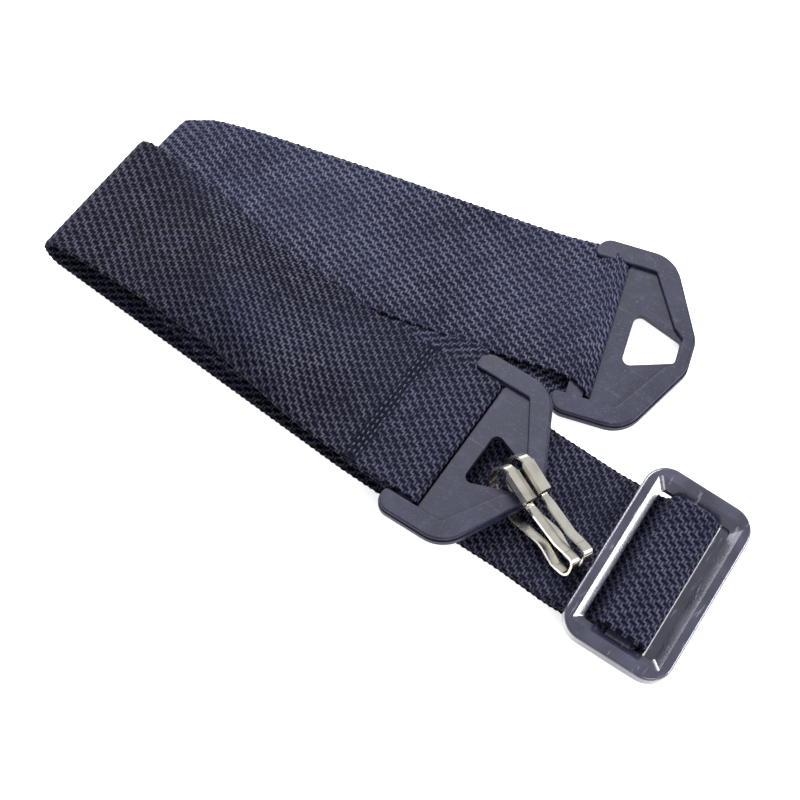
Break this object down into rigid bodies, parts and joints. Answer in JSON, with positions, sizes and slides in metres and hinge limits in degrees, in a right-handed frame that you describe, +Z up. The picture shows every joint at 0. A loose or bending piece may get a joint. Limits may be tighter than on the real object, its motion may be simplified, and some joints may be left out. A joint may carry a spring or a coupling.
{
  "type": "folded webbing carrying strap with snap hooks",
  "caption": "Black webbing carrying strap folded flat, with moulded triangular end plates, an adjusting slider and bent-strip spring snap hooks.",
  "frame": {"origin": "middle of the bounding box of the folded strap, on the surface it lies on", "axes": "+Z up from the surface, +X along the straight end of the strap towards the slider, +Y towards the plate that lies flat"},
  "size_m": [0.2526, 0.134, 0.0259],
  "materials": {
    "webbing_running": "woven",
    "webbing_fixed": "woven",
    "thread": "twisted",
    "moulding": "fine grain",
    "slider_plastic": "glossy, scuffed",
    "nickel": "bright plated"
  },
  "bodies": {
    "webbing": {"running_webbing": "webbing_running", "fixed_webbing": "webbing_fixed", "plate_a_seam": "thread", "plate_b_seam": "thread", "slider_seam": "thread"},
    "plate_a": {"end_plate_a": "moulding"},
    "plate_b": {"end_plate_b": "moulding"},
    "slider": {"slider_frame": "slider_plastic"},
    "hook_near": {"snap_hook_near": "nickel"},
    "hook_far": {"snap_hook_far": "nickel"},
    "tongue_near": {"snap_hook_near_spring": "nickel"},
    "tongue_far": {"snap_hook_far_spring": "nickel"}
  },
  "joints": [
    {"name": "plate_a_pivot", "type": "hinge", "parent": "webbing", "child": "plate_a", "pos_m": [0.04121, 0.03101, 0.00375], "axis": [0.2924, -0.9563, 0], "range_deg": [0, 15]},
    {"name": "plate_b_pivot", "type": "hinge", "parent": "webbing", "child": "plate_b", "pos_m": [0.0249, -0.03198, 0.0108], "axis": [0, -1, 0], "range_deg": [0, 10]},
    {"name": "slider_rock", "type": "hinge", "parent": "webbing", "child": "slider", "pos_m": [0.1056, -0.03299, 0.0079], "axis": [0.0523, -0.9986, 0], "range_deg": [-5, 4]},
    {"name": "hook_near_swing", "type": "hinge", "parent": "plate_b", "child": "hook_near", "pos_m": [0.05595, -0.03738, 0.0114], "axis": [-0.2934, -0.8418, 0.4531], "range_deg": [0, 7]},
    {"name": "hook_far_swing", "type": "hinge", "parent": "plate_b", "child": "hook_far", "pos_m": [0.05595, -0.03048, 0.0114], "axis": [-0.3154, -0.8338, 0.4531], "range_deg": [0, 12]},
    {"name": "tongue_near_spring", "type": "hinge", "parent": "hook_near", "child": "tongue_near", "pos_m": [0.07899, -0.04519, 0.0152], "axis": [-0.2934, -0.8418, 0.4531], "range_deg": [0, 3], "stiffness_Nm_per_rad": 1},
    {"name": "tongue_far_spring", "type": "hinge", "parent": "hook_far", "child": "tongue_far", "pos_m": [0.08072, -0.04015, 0.0152], "axis": [-0.3154, -0.8338, 0.4531], "range_deg": [0, 3], "stiffness_Nm_per_rad": 1}
  ]
}
